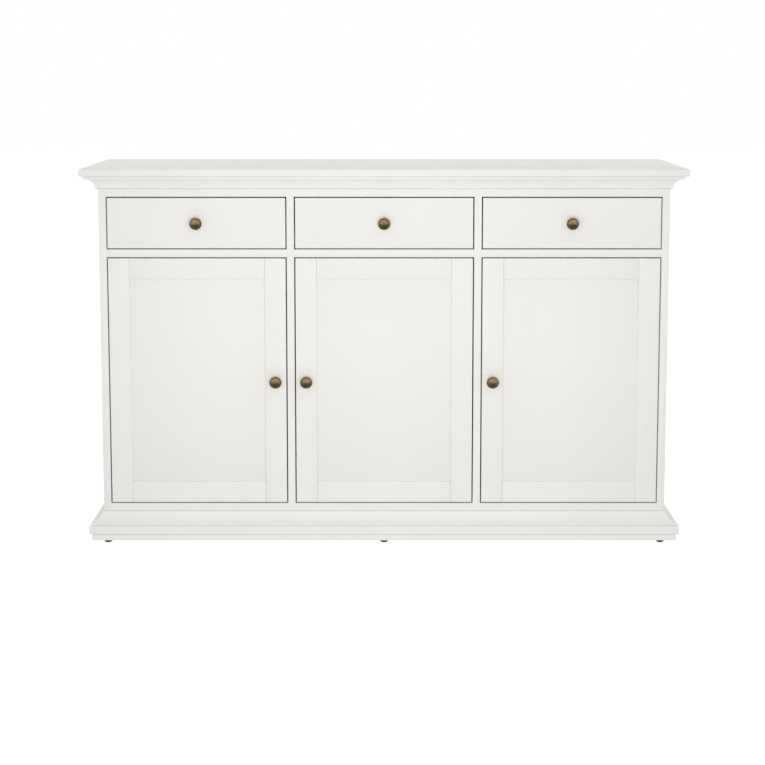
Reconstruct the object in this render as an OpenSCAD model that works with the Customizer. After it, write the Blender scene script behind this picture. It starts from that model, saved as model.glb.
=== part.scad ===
// Sideboard buffet: three drawers over three framed doors, with a moulded cornice and plinth.
// Millimetres. X runs to the right, Y to the back and Z up, from the middle of the floor.

/* [Case] */
// Width of the top board
top_w = 1480; // [1200:10:1700]
// Depth of the top board
top_d = 450; // [440:5:520]
// How far the top board stands past the case at the front and sides
overhang = 40; // [36:1:50]
// Thickness of the top board
top_t = 18; // [16:1:25]
// Thickness of the side panels and partitions
upright_t = 18; // [18:1:22]
// Thickness of the case's level boards
board_t = 19; // [18:1:22]
// Thickness of the back panel and the drawer bottoms
sheet_t = 3; // [3:0.5:4]
// Height of the cornice moulding
cornice_h = 32.5; // [30:0.5:45]

/* [Plinth] */
// Height of the plinth moulding
plinth_h = 68.5; // [66:0.5:80]
// Height of the round glides
glide_h = 6; // [5:0.5:8]
// Diameter of the round glides
glide_d = 20; // [16:1:20]

/* [Fronts] */
// Gap around each drawer front and door
gap = 3; // [2.5:0.5:4]
// Thickness of the drawer fronts and door frames
front_t = 20; // [20:1:24]
// Height of each drawer front
drawer_h = 124; // [116:1:150]
// Height of each door
door_h = 613; // [500:1:640]
// Width of the door stiles and rails
stile_w = 52; // [50:1:70]
// How far the door panels are sunk behind the frames
sink = 6; // [4:0.5:7]
// Diameter of the knobs
knob_d = 30; // [24:1:36]
// How far the knobs stand out
knob_out = 27; // [24:1:30]

/* [Drawers] */
// Length of the drawer boxes and their runners
runner_l = 350; // [300:10:350]
// Room between a drawer box and the uprights, on each side
runner_gap = 12.7; // [12.7:0.1:13]
// Thickness of the drawer sides and backs
drawer_t = 12; // [12:1:15]
// Height of the drawer sides
drawer_side_h = 92; // [80:1:95]
// Diameter of the runner rollers
roller_d = 22; // [20:1:22]

/* [Inside] */
// Thickness of the shelves
shelf_t = 16; // [16:1:19]
// Which row of pin holes holds the shelves, counted from below
shelf_row = 2; // [0:1:4]
// Spacing of the rows of pin holes
row_step = 32; // [32:1:40]

/* [Hidden] */
$fn = 48;
BAYS = [0, 1, 2];
SIDES = [-1, 1];
// Side on which each door hangs: -1 is left and 1 is right
HANGS = [-1, 1, 1];

case_w = top_w - 2 * overhang;
front_y = -top_d / 2 + overhang;
back_y = top_d / 2;
bay_w = (case_w - 4 * upright_t) / 3;
inner_w = case_w - 2 * upright_t;
front_w = bay_w - 2 * gap;

base_z = glide_h + plinth_h;
floor_z = base_z + board_t;
shelf_z = floor_z + door_h + 2 * gap;
drawer_z = shelf_z + board_t;
lid_z = drawer_z + drawer_h + 2 * gap;
cornice_z = lid_z + board_t;
top_z = cornice_z + cornice_h;

// Room round a sheet in its groove, round a dowel in its bore, and at the ends of dowels and pins
slack = 0.4;
fit_gap = 0.1;
end_room = 0.5;

// The back panel slides in grooves, and the batten and the plinth's back board lie across the back
groove_in = 6;
groove_w = sheet_t + slack;
groove_y = back_y - 12;
carcass_back = groove_y - end_room;
back_board_t = 20;

// Dowels and their holes
dowel_d = 8;
dowel_l = 30;
dowel_y = [front_y + 45, carcass_back - 45];

// Shelf pins and their rows of holes
pin_d = 5;
pin_in = 8;
pin_out = 9;
collar_d = 8;
collar_t = 1.2;
pin_rows = 5;
pin_y = [front_y + 75, carcass_back - 45];
first_row_z = floor_z + door_h / 2 - 2 * row_step;
pin_z = first_row_z + shelf_row * row_step;

// Room round the shelves
shelf_side_gap = 1.5;
shelf_front_gap = 50;
shelf_back_gap = 5;

// The tracks of the runners, over a drawer bay's own floor
steel_t = 1.2;
rail_lip_z = 10.3;
track_h = roller_d + 1;
track_z = drawer_z + rail_lip_z + steel_t;
rail_start = 2;
rail_room = 0.6;
web_over = 3;
flange_w = 10;

// The drawer boxes, which hang between the runners
box_w = bay_w - 2 * runner_gap;
box_y = front_y + front_t;
box_z = track_z + 3;
bottom_z = box_z + 8;
bottom_short = 2;
back_low = 6;

// The rollers, one behind on the drawer and one in front on the case
roller_w = 7;
roller_pin_d = 6;
roller_pin_l = 10;
roller_room = 1.5;
play = 0.3;
roller_x = bay_w / 2 - steel_t - roller_room - roller_w;
drawer_roller_y = box_y + runner_l - 14;
drawer_roller_z = track_z + play + roller_d / 2;
case_roller_y = box_y + 26;
case_roller_z = track_z + track_h - play - roller_d / 2;

// Screw holes of the cabinet rails, from their front ends and over the track
rail_hole_d = 4.5;
rail_hole_up = 12;
first_hole = 60;
last_hole = runner_l - 30;
rail_holes = [first_hole, (first_hole + last_hole) / 2, last_hole];

// Hinge geometry, measured from the hinge line at the door's outer front edge
line_off = 0.5;
cup_d = 35;
cup_in = 22.5;
cup_deep = 11.5;
cup_wall = 0.9;
hinge_screw_d = 7;
hinge_from_end = 100;
hinge_z = [floor_z + gap + hinge_from_end, floor_z + gap + door_h - hinge_from_end];

// Door frames and their panels, and the knobs' places
knob_hole_d = 4.2;
groove_deep = 9;
panel_t = 6;
door_z = floor_z + gap;
door_mid_z = door_z + door_h / 2;
drawer_mid_z = drawer_z + gap + drawer_h / 2;

white = "#eeece6";
inside_white = "#e4e2dc";
bronze = "#8a6c48";
steel = "#c9cacc";
epoxy = "#dcdcd8";
nylon = "#f4f3ee";
black = "#222222";
beech = "#d9b98a";

function bay_x(bay) = (bay - 1) * (bay_w + upright_t);

// ---- Shared shapes ----

// A box given by its lowest and highest corners
module box(low, high) {
    translate(low) cube(high - low);
}

// A round bar or bore along X that starts at a point
module bar_x(d, l, at) {
    translate(at) rotate([0, 90, 0]) cylinder(d = d, h = l);
}

// A round bar or bore along Y that starts at a point
module bar_y(d, l, at) {
    translate(at) rotate([-90, 0, 0]) cylinder(d = d, h = l);
}

// Puts a child in a bay, mirrored where its door hangs on the right
module hung(bay) {
    translate([bay_x(bay), 0, 0])
        mirror([HANGS[bay] > 0 ? 1 : 0, 0, 0])
            children();
}

// Both sides of a bay: the child is drawn for the right-hand side
module both_sides() {
    children();
    mirror([1, 0, 0]) children();
}

// ---- Mouldings ----

// Points of an arc between two angles, squashed to an ellipse
function arc(mid, rx, ry, from, to, steps) =
    [for (i = [0:steps]) let (a = from + (to - from) * i / steps) mid + [rx * cos(a), ry * sin(a)]];

// Outline of the cornice: distance past the case, then height
cornice_lip = 7;
cornice_out = 30;
cornice_foot = 6.5;
foot_h = 0.8;
lip_z = cornice_h - cornice_lip;
hollow_out = cornice_out - 2;
cornice_points = concat(
    [[-upright_t, 0], [cornice_foot, 0]],
    arc([hollow_out, foot_h], hollow_out - cornice_foot, lip_z - foot_h, 180, 90, 12),
    [[cornice_out, lip_z], [cornice_out, cornice_h], [-upright_t, cornice_h]]);

// Outline of the plinth: distance past the case, then height
plinth_out = 32.5;
band_out = 26.8;
band_z = 16;
nose_z = 37;
nose_ease = 1.5;
fillet_z = nose_z + 5.5;
cove_r = 37.5;
cove_out = 3;
plinth_in = 22;
skirt_in = 6.8;
skirt_z = 36;
// The cove is a shallow arc: its middle lies past the upper end of the chord
cove_top = [cove_out, plinth_h - 2];
cove_foot = [band_out, fillet_z];
cove_chord = cove_foot - cove_top;
cove_half = norm(cove_chord) / 2;
cove_side = [-cove_chord[1], cove_chord[0]] / norm(cove_chord);
cove_mid = (cove_top + cove_foot) / 2 + cove_side * sqrt(cove_r * cove_r - cove_half * cove_half);
cove_from = atan2(cove_top[1] - cove_mid[1], cove_top[0] - cove_mid[0]);
cove_turn = 2 * asin(cove_half / cove_r);
cove_points = arc(cove_mid, cove_r, cove_r, cove_from, cove_from + cove_turn, 12);
plinth_points = concat(
    [[skirt_in, 0], [band_out, 0], [band_out, band_z], [plinth_out, band_z],
     [plinth_out, nose_z - nose_ease], [plinth_out - nose_ease, nose_z], [band_out, nose_z]],
    [for (i = [len(cove_points) - 1:-1:0]) cove_points[i]],
    [[cove_out, plinth_h], [-plinth_in, plinth_h], [-plinth_in, skirt_z], [skirt_in, skirt_z]]);

// Plan of a front moulding, mitred at both corners of the case
module front_plan(inner) {
    half = case_w / 2;
    polygon([[-half - overhang, front_y - overhang], [half + overhang, front_y - overhang],
             [half - inner, front_y + inner], [-half + inner, front_y + inner]]);
}

// Plan of the right-hand moulding, mitred at the front corner only
module side_plan(inner) {
    half = case_w / 2;
    polygon([[half + overhang, front_y - overhang], [half + overhang, back_y],
             [half - inner, back_y], [half - inner, front_y + inner]]);
}

module front_moulding(points, z, inner) {
    intersection() {
        translate([-top_w / 2, front_y, z]) rotate([90, 0, 90]) linear_extrude(top_w)
            mirror([1, 0]) polygon(points);
        translate([0, 0, z]) linear_extrude(plinth_h) front_plan(inner);
    }
}

module side_mouldings(points, z, inner) {
    both_sides() intersection() {
        translate([case_w / 2, back_y, z]) rotate([90, 0, 0]) linear_extrude(top_d) polygon(points);
        translate([0, 0, z]) linear_extrude(plinth_h) side_plan(inner);
    }
}

module cornice_front() {
    color(white) front_moulding(cornice_points, cornice_z, upright_t);
}

module cornice_sides() {
    color(white) side_mouldings(cornice_points, cornice_z, upright_t);
}

module top_batten() {
    color(inside_white)
        box([-inner_w / 2, back_y - back_board_t, cornice_z], [inner_w / 2, back_y, top_z]);
}

// ---- Top ----

// Rounded ends of the top board's outline, as far from the middle as is given
edge_r = 2;
function left_end(reach) = concat(
    arc([edge_r - reach, edge_r], edge_r, edge_r, 270, 180, 4),
    arc([edge_r - reach, top_t - edge_r], edge_r, edge_r, 180, 90, 4));
function right_end(reach) = concat(
    arc([reach - edge_r, top_t - edge_r], edge_r, edge_r, 90, 0, 4),
    arc([reach - edge_r, edge_r], edge_r, edge_r, 360, 270, 4));

// The board is rounded at the front and both ends by crossing two bars
module top_panel() {
    color(white) intersection() {
        translate([-top_w / 2, 0, top_z]) rotate([90, 0, 90]) linear_extrude(top_w)
            polygon(concat(left_end(top_d / 2), [[back_y, top_t], [back_y, 0]]));
        translate([0, back_y, top_z]) rotate([90, 0, 0]) linear_extrude(top_d)
            polygon(concat(left_end(top_w / 2), right_end(top_w / 2)));
    }
}

// ---- Plinth ----

module plinth_front() {
    color(white) front_moulding(plinth_points, glide_h, plinth_in);
}

module plinth_sides() {
    color(white) side_mouldings(plinth_points, glide_h, plinth_in);
}

// A board across the back, housed under and between the side mouldings
module plinth_back() {
    low_w = case_w / 2 + skirt_in;
    high_w = case_w / 2 - plinth_in;
    inner_y = back_y - back_board_t;
    color(white) union() {
        box([-low_w, inner_y, glide_h], [low_w, back_y, glide_h + skirt_z]);
        box([-high_w, inner_y, glide_h + skirt_z], [high_w, back_y, base_z]);
    }
}

// Round glides under the plinth's front and back boards, with a chamfered foot
module glides() {
    r = glide_d / 2;
    ease = 1;
    end_x = case_w / 2 - 12;
    front_row = front_y - (skirt_in + band_out) / 2;
    back_row = back_y - r - end_room;
    color(black) for (x = [-end_x, 0, end_x])
        for (y = [front_row, back_row])
            translate([x, y, 0]) rotate_extrude()
                polygon([[0, 0], [r - ease, 0], [r, ease], [r, glide_h], [0, glide_h]]);
}

// ---- Case ----

// Middle heights of the level boards
LEVELS = [floor_z - board_t / 2, shelf_z + board_t / 2, lid_z + board_t / 2];

// A dowel's short part lies in a board's face, and its long part in the end of the other board
upright_bore = 8.5;
end_bore = dowel_l + 1 - upright_bore;

// Blind dowel bores in an upright's face
module face_bores(x, side, levels) {
    start = side > 0 ? x : x - upright_bore;
    for (z = levels)
        for (y = dowel_y)
            bar_x(dowel_d + fit_gap, upright_bore, [start, y, z]);
}

// Rows of blind holes for the shelf pins
module pin_bores(x, side) {
    start = side > 0 ? x : x - pin_in;
    for (row = [0:pin_rows - 1])
        for (y = pin_y)
            bar_x(pin_d + fit_gap, pin_in, [start, y, first_row_z + row * row_step]);
}

// Drawn as the left side panel: the inner face is at +X
module side_panel() {
    inner = -inner_w / 2;
    difference() {
        box([-case_w / 2, front_y, base_z], [inner, back_y, cornice_z]);
        box([inner - groove_in, groove_y, base_z + board_t - groove_in],
            [inner + 1, groove_y + groove_w, lid_z + groove_in]);
        face_bores(inner, -1, LEVELS);
        pin_bores(inner, -1);
    }
}

module side_panel_left() {
    color(white) side_panel();
}

module side_panel_right() {
    color(white) mirror([1, 0, 0]) side_panel();
}

// Drawn as the left partition, which stands between the floor board and the lid board
module partition() {
    left = bay_x(0) + bay_w / 2;
    right = left + upright_t;
    mid = (left + right) / 2;
    difference() {
        box([left, front_y, floor_z], [right, carcass_back, lid_z]);
        face_bores(left, 1, [LEVELS[1]]);
        face_bores(right, -1, [LEVELS[1]]);
        pin_bores(left, 1);
        pin_bores(right, -1);
        for (z = [floor_z, lid_z])
            for (y = dowel_y)
                translate([mid, y, z - end_bore]) cylinder(d = dowel_d + fit_gap, h = 2 * end_bore);
    }
}

module partition_left() {
    color(inside_white) partition();
}

module partition_right() {
    color(inside_white) mirror([1, 0, 0]) partition();
}

// A board between two uprights, with dowel bores in both ends
module level_board(x0, x1, z, back) {
    difference() {
        box([x0, front_y, z], [x1, back, z + board_t]);
        for (y = dowel_y) {
            bar_x(dowel_d + fit_gap, end_bore, [x0, y, z + board_t / 2]);
            bar_x(dowel_d + fit_gap, end_bore, [x1 - end_bore, y, z + board_t / 2]);
        }
    }
}

// The upright bores of both partitions, in the board at one of their ends
module partition_bores(z) {
    for (side = SIDES)
        for (y = dowel_y)
            translate([side * (bay_w + upright_t) / 2, y, z - upright_bore])
                cylinder(d = dowel_d + fit_gap, h = 2 * upright_bore);
}

module lid_board() {
    color(white) difference() {
        level_board(-inner_w / 2, inner_w / 2, lid_z, back_y);
        box([-inner_w / 2 - 1, groove_y, lid_z - 1],
            [inner_w / 2 + 1, groove_y + groove_w, lid_z + groove_in]);
        partition_bores(lid_z);
    }
}

module floor_board() {
    color(white) difference() {
        level_board(-inner_w / 2, inner_w / 2, base_z, back_y);
        box([-inner_w / 2 - 1, groove_y, floor_z - groove_in],
            [inner_w / 2 + 1, groove_y + groove_w, floor_z + 1]);
        partition_bores(floor_z);
    }
}

module drawer_boards() {
    color(white) for (bay = BAYS)
        level_board(bay_x(bay) - bay_w / 2, bay_x(bay) + bay_w / 2, shelf_z, carcass_back);
}

module back_panel() {
    half = inner_w / 2 + groove_in - slack;
    front = groove_y + slack / 2;
    color(inside_white)
        box([-half, front, floor_z - groove_in + slack], [half, front + sheet_t, lid_z + groove_in - slack]);
}

module dowel_x(x, y, z) {
    bar_x(dowel_d, dowel_l, [x, y, z]);
}

module dowels() {
    reach = upright_bore - end_room;
    side_face = inner_w / 2;
    part_face = bay_w / 2;
    color(beech) for (y = dowel_y) {
        for (level = LEVELS)
            both_sides() dowel_x(side_face + reach - dowel_l, y, level);
        both_sides() dowel_x(part_face + upright_t - reach, y, LEVELS[1]);
        both_sides() dowel_x(part_face + reach - dowel_l, y, LEVELS[1]);
        both_sides() translate([(bay_w + upright_t) / 2, y, 0]) {
            translate([0, 0, floor_z - reach]) cylinder(d = dowel_d, h = dowel_l);
            translate([0, 0, lid_z + reach - dowel_l]) cylinder(d = dowel_d, h = dowel_l);
        }
    }
}

// ---- Shelves ----

module shelves() {
    half = bay_w / 2 - shelf_side_gap;
    under = pin_z + pin_d / 2;
    color(inside_white) for (bay = BAYS)
        box([bay_x(bay) - half, front_y + shelf_front_gap, under],
            [bay_x(bay) + half, carcass_back - shelf_back_gap, under + shelf_t]);
}

// A plain steel pin at the origin, with a collar that stays below the shelf
module shelf_pin() {
    union() {
        bar_x(pin_d, pin_in + pin_out - end_room, [-pin_out, 0, 0]);
        intersection() {
            bar_x(collar_d, collar_t, [-collar_t, 0, 0]);
            box([-collar_t - 1, -collar_d, -collar_d], [1, collar_d, pin_d / 2]);
        }
    }
}

module shelf_pins() {
    color(steel) for (bay = BAYS)
        for (y = pin_y)
            translate([bay_x(bay), y, pin_z]) both_sides()
                translate([bay_w / 2, 0, 0]) shelf_pin();
}

// ---- Runners ----

// Cabinet half of one right-hand runner: a web on the upright, a lower track and a roller pin
module case_rail() {
    face = bay_w / 2;
    y0 = box_y + rail_start;
    y1 = y0 + runner_l;
    track_x = face - runner_gap + steel_t + rail_room;
    difference() {
        union() {
            box([face - steel_t, y0, track_z - steel_t], [face, y1, track_z + track_h + web_over]);
            box([track_x, y0, track_z - steel_t], [face, y1, track_z]);
            bar_x(roller_pin_d, roller_pin_l, [face - roller_pin_l, case_roller_y, case_roller_z]);
        }
        for (y = rail_holes)
            bar_x(rail_hole_d, steel_t + 2, [face - steel_t - 1, y0 + y, track_z + rail_hole_up]);
    }
}

module case_rails() {
    color(epoxy) for (bay = BAYS)
        translate([bay_x(bay), 0, 0]) both_sides() case_rail();
}

// Drawer half of one right-hand runner: it wraps under the drawer side and carries the upper track
module drawer_rail() {
    side = box_w / 2;
    top = track_z + track_h;
    y1 = box_y + runner_l;
    union() {
        box([side, box_y, box_z - steel_t], [side + steel_t, y1, top + steel_t]);
        box([side - flange_w, box_y, box_z - steel_t], [side + steel_t, y1, box_z]);
        box([side, box_y, top], [bay_w / 2 - steel_t - rail_room, y1, top + steel_t]);
        bar_x(roller_pin_d, roller_pin_l, [side, drawer_roller_y, drawer_roller_z]);
    }
}

module drawer_rails(bay) {
    color(epoxy) translate([bay_x(bay), 0, 0]) both_sides() drawer_rail();
}

// A nylon roller with chamfered edges, bored to run on its pin
module roller() {
    r = roller_d / 2;
    bore_r = roller_pin_d / 2 + 0.06;
    ease = 1;
    translate([roller_x, 0, 0]) rotate([0, 90, 0]) rotate_extrude()
        polygon([[bore_r, 0], [r - ease, 0], [r, ease],
                 [r, roller_w - ease], [r - ease, roller_w], [bore_r, roller_w]]);
}

module drawer_rollers(bay) {
    color(nylon) translate([bay_x(bay), drawer_roller_y, drawer_roller_z]) both_sides() roller();
}

module case_rollers(bay) {
    color(nylon) translate([bay_x(bay), case_roller_y, case_roller_z]) both_sides() roller();
}

// ---- Drawers ----

module drawer_front(bay) {
    low_z = drawer_z + gap;
    color(white) translate([bay_x(bay), 0, 0]) difference() {
        box([-front_w / 2, front_y, low_z], [front_w / 2, front_y + front_t, low_z + drawer_h]);
        bar_y(knob_hole_d, front_t + 2, [0, front_y - 1, drawer_mid_z]);
    }
}

// Two sides, grooved for the bottom, with their ends on the front's back face
module drawer_sides(bay) {
    inner = box_w / 2 - drawer_t;
    y1 = box_y + runner_l;
    color(inside_white) translate([bay_x(bay), 0, 0]) both_sides() difference() {
        box([inner, box_y, box_z], [inner + drawer_t, y1, box_z + drawer_side_h]);
        box([inner - 1, box_y - 1, bottom_z], [inner + groove_in, y1 + 1, bottom_z + groove_w]);
    }
}

// The back stands on the bottom, between the sides
module drawer_back(bay) {
    half = box_w / 2 - drawer_t;
    y1 = box_y + runner_l;
    color(inside_white) translate([bay_x(bay), 0, 0])
        box([-half, y1 - drawer_t, bottom_z + groove_w], [half, y1, box_z + drawer_side_h - back_low]);
}

module drawer_bottom(bay) {
    half = box_w / 2 - drawer_t + groove_in - slack;
    under = bottom_z + slack / 2;
    color(inside_white) translate([bay_x(bay), 0, 0])
        box([-half, box_y, under], [half, box_y + runner_l - bottom_short, under + sheet_t]);
}

// ---- Knobs ----

// A turned knob standing on a face at the origin, pointing up: foot, neck, rim bead and low dome
module knob() {
    foot_r = 8;
    foot_t = 1.5;
    neck_r = 5.7;
    neck_z = 9;
    flare = 6.8;
    bead_r = 1.2;
    bead_x = knob_d / 2 - bead_r;
    dome_h = 7.7;
    dome_r = bead_x - bead_r;
    dome_z = knob_out - dome_h;
    bead_z = dome_z - 2.1;
    rotate_extrude() polygon(concat(
        [[0, 0], [foot_r, 0], [foot_r, foot_t], [foot_r - 1.2, foot_t + 1.1]],
        arc([neck_r + flare, neck_z], flare, 6.4, 180, 130, 5),
        arc([bead_x, bead_z], bead_r, bead_r, 270, 450, 6),
        [[dome_r + 0.2, dome_z - 0.9]],
        arc([0, dome_z], dome_r, dome_h, 0, 90, 10)));
}

module knob_at(x, z) {
    translate([x, front_y, z]) rotate([90, 0, 0]) knob();
    bar_y(knob_hole_d - fit_gap, front_t - 2, [x, front_y, z]);
}

module drawer_knob(bay) {
    color(bronze) translate([bay_x(bay), 0, 0]) union() knob_at(0, drawer_mid_z);
}

// On the closing stile, at the middle of the door's height
module door_knob(bay) {
    color(bronze) hung(bay) union() knob_at(front_w / 2 - stile_w / 2, door_mid_z);
}

// ---- Doors, drawn hung on the left ----

// The groove for the panel and the rails' tongues runs round the frame's inside edge
groove_front = front_y + sink - fit_gap;
groove_back = groove_front + panel_t + 2 * fit_gap;

module door_stiles(bay) {
    inner = front_w / 2 - stile_w;
    door_top = door_z + door_h;
    cup_y = front_y + front_t - cup_deep - 2 * fit_gap;
    color(white) hung(bay) difference() {
        both_sides() difference() {
            box([inner, front_y, door_z], [front_w / 2, front_y + front_t, door_top]);
            box([inner - 1, groove_front, door_z - 1], [inner + groove_deep, groove_back, door_top + 1]);
        }
        for (z = hinge_z)
            bar_y(cup_d + fit_gap, cup_deep + 2, [cup_in - front_w / 2, cup_y, z]);
        bar_y(knob_hole_d, front_t + 2, [front_w / 2 - stile_w / 2, front_y - 1, door_mid_z]);
    }
}

// One rail at the bottom of the door, with a tongue at each end and a groove in its upper edge
module door_rail() {
    half = front_w / 2 - stile_w;
    tongue = half + groove_deep - end_room;
    top = door_z + stile_w;
    difference() {
        union() {
            box([-half, front_y, door_z], [half, front_y + front_t, top]);
            box([-tongue, groove_front + fit_gap, door_z], [tongue, groove_back - fit_gap, top]);
        }
        box([-tongue - 1, groove_front, top - groove_deep], [tongue + 1, groove_back, top + 1]);
    }
}

module door_rails(bay) {
    color(white) translate([bay_x(bay), 0, 0]) {
        door_rail();
        translate([0, 0, 2 * door_mid_z]) mirror([0, 0, 1]) door_rail();
    }
}

module door_panel(bay) {
    hidden = groove_deep - 2 * end_room;
    half = front_w / 2 - stile_w + hidden;
    color(white) translate([bay_x(bay), 0, 0])
        box([-half, groove_front + fit_gap, door_z + stile_w - hidden],
            [half, groove_back - fit_gap, door_z + door_h - stile_w + hidden]);
}

// ---- Hinges, drawn on the left of the bay ----

// Places a child on the hinge line, looking along it, at each of a door's two hinges
module at_hinges() {
    for (z = hinge_z)
        translate([-front_w / 2 - line_off, front_y - line_off, z]) children();
}

// The cup, its flange and its screws, which turn with the door
module hinge_cup() {
    back = front_t + line_off;
    mid = cup_in + line_off;
    rim_w = 2;
    flange_t = 1;
    ear_in = 8;
    ear_out = 14;
    ear_half = 29;
    screw_x = mid + 9.5;
    screw_z = 24;
    union() {
        difference() {
            union() {
                bar_y(cup_d - 2 * fit_gap, cup_deep, [mid, back - cup_deep, 0]);
                bar_y(cup_d + 2 * rim_w, flange_t, [mid, back, 0]);
                box([mid - ear_in, back, -ear_half], [mid + ear_out, back + flange_t, ear_half]);
            }
            bar_y(cup_d - 2 * cup_wall, cup_deep + 2, [mid, back - cup_deep + cup_wall, 0]);
        }
        for (side = SIDES)
            bar_y(hinge_screw_d, 1.4, [screw_x, back + 0.6, side * screw_z]);
    }
}

module hinge_cups(bay) {
    color(steel) hung(bay) at_hinges() hinge_cup();
}

// A block from one place to another across and along, as far above the middle as below it
module hinge_block(across, along, half_h) {
    box([across[0], along[0], -half_h], [across[1], along[1], half_h]);
}

// The plate on the upright with its wings, and the cranked arm, whose tip reaches into the open cup
module hinge_arm() {
    face = line_off - gap;
    plate_top = face + 8;
    wing_top = face + 2;
    wing_y = [42, 54];
    arm_top = face + 14;
    arm_y = 26;
    crank_y = 34;
    tip_x = [20, 33];
    tip_y = 13;
    union() {
        hinge_block([face, plate_top], [crank_y, 86], 8);
        hinge_block([face, wing_top], wing_y, 26);
        hinge_block([plate_top, arm_top], [arm_y, 84], 6.5);
        hinge_block([plate_top, tip_x[1]], [arm_y, crank_y], 5);
        hinge_block(tip_x, [tip_y, arm_y + 1], 5);
        for (side = SIDES)
            bar_x(hinge_screw_d, 1.2, [wing_top - 0.4, wing_y[0] + 6, side * 20]);
    }
}

module hinge_arms() {
    color(steel) for (bay = BAYS)
        hung(bay) at_hinges() hinge_arm();
}

top_panel();
cornice_front();
cornice_sides();
top_batten();
side_panel_left();
side_panel_right();
partition_left();
partition_right();
lid_board();
drawer_boards();
floor_board();
back_panel();
dowels();
plinth_front();
plinth_sides();
plinth_back();
glides();
shelves();
shelf_pins();
case_rails();
hinge_arms();
drawer_front(0);  // drawer_front_left
drawer_front(1);  // drawer_front_centre
drawer_front(2);  // drawer_front_right
drawer_sides(0);  // drawer_sides_left
drawer_sides(1);  // drawer_sides_centre
drawer_sides(2);  // drawer_sides_right
drawer_back(0);  // drawer_back_left
drawer_back(1);  // drawer_back_centre
drawer_back(2);  // drawer_back_right
drawer_bottom(0);  // drawer_bottom_left
drawer_bottom(1);  // drawer_bottom_centre
drawer_bottom(2);  // drawer_bottom_right
drawer_knob(0);  // drawer_knob_left
drawer_knob(1);  // drawer_knob_centre
drawer_knob(2);  // drawer_knob_right
drawer_rails(0);  // drawer_rails_left
drawer_rails(1);  // drawer_rails_centre
drawer_rails(2);  // drawer_rails_right
drawer_rollers(0);  // drawer_rollers_left
drawer_rollers(1);  // drawer_rollers_centre
drawer_rollers(2);  // drawer_rollers_right
case_rollers(0);  // case_rollers_left
case_rollers(1);  // case_rollers_centre
case_rollers(2);  // case_rollers_right
door_stiles(0);  // door_stiles_left
door_stiles(1);  // door_stiles_centre
door_stiles(2);  // door_stiles_right
door_rails(0);  // door_rails_left
door_rails(1);  // door_rails_centre
door_rails(2);  // door_rails_right
door_panel(0);  // door_panel_left
door_panel(1);  // door_panel_centre
door_panel(2);  // door_panel_right
door_knob(0);  // door_knob_left
door_knob(1);  // door_knob_centre
door_knob(2);  // door_knob_right
hinge_cups(0);  // hinge_cups_left
hinge_cups(1);  // hinge_cups_centre
hinge_cups(2);  // hinge_cups_right
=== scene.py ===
# Sideboard buffet: three drawers over three framed doors, on a moulded plinth.
# Everything is in metres, in the part's own frame: X right, Y to the back, Z up from the floor.
import math

import bpy
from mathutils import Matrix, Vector


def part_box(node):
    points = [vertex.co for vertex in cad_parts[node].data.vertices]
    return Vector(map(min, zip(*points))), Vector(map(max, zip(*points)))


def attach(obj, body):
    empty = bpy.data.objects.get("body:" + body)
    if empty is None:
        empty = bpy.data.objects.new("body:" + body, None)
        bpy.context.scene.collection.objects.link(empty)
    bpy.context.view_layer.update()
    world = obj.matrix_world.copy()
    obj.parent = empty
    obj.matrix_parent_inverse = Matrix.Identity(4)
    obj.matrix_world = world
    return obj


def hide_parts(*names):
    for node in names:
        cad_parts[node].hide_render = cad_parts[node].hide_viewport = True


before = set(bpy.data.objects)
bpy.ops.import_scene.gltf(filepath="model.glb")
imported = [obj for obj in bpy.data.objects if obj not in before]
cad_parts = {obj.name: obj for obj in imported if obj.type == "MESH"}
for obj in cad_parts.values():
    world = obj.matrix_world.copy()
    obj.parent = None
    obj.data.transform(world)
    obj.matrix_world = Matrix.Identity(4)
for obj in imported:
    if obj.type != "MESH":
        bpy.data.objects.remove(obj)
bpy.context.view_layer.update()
print("frame loaded:", len(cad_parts), "pieces")

bayNames = ["left", "centre", "right"]
hangSide = {"left": -1, "centre": 1, "right": 1}  # the side each door turns on
bayMid = {bay: sum(corner.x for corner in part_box("drawer_front_" + bay)) / 2 for bay in bayNames}
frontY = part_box("drawer_front_left")[0].y
finishes = {}

near = 0.0001  # closer than this counts as the same place
past = 0.01  # how far a cutter reaches beyond what it cuts
straight, leaning = 0.99, 0.9  # how well an edge has to follow an axis


# working on a piece

def setMode(mode):
    bpy.ops.object.mode_set(mode=mode)


def selectAll(action="SELECT"):
    bpy.ops.mesh.select_all(action=action)


def faceOutwards():
    selectAll()
    bpy.ops.mesh.normals_make_consistent(inside=False)
    setMode("OBJECT")


def deselectAll():
    if bpy.context.object and bpy.context.object.mode != "OBJECT":
        setMode("OBJECT")
    bpy.ops.object.select_all(action="DESELECT")


def makeActive(piece):
    deselectAll()
    piece.select_set(True)
    bpy.context.view_layer.objects.active = piece


def nameActive(name):
    piece = bpy.context.object
    piece.name = piece.data.name = name
    bpy.ops.object.transform_apply(location=True, rotation=True, scale=True)
    return piece


def discard(*pieces):
    for piece in pieces:
        bpy.data.objects.remove(piece)


def boxMid(node):
    low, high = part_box(node)
    return (low + high) / 2


def addBlock(name, low, high):
    # a block between two corners, ready to be shaped
    deselectAll()
    low, high = Vector(low), Vector(high)
    bpy.ops.mesh.primitive_cube_add(size=1, location=(low + high) / 2)
    bpy.context.object.scale = high - low
    return nameActive(name)


def addRod(name, radius, start, end, sides=32):
    # a round bar between two points on a line along one axis
    deselectAll()
    start, end = Vector(start), Vector(end)
    bpy.ops.mesh.primitive_cylinder_add(
        vertices=sides, radius=radius, depth=(end - start).length, location=(start + end) / 2)
    bpy.context.object.rotation_euler = (end - start).to_track_quat("Z", "Y").to_euler()
    return nameActive(name)


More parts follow.
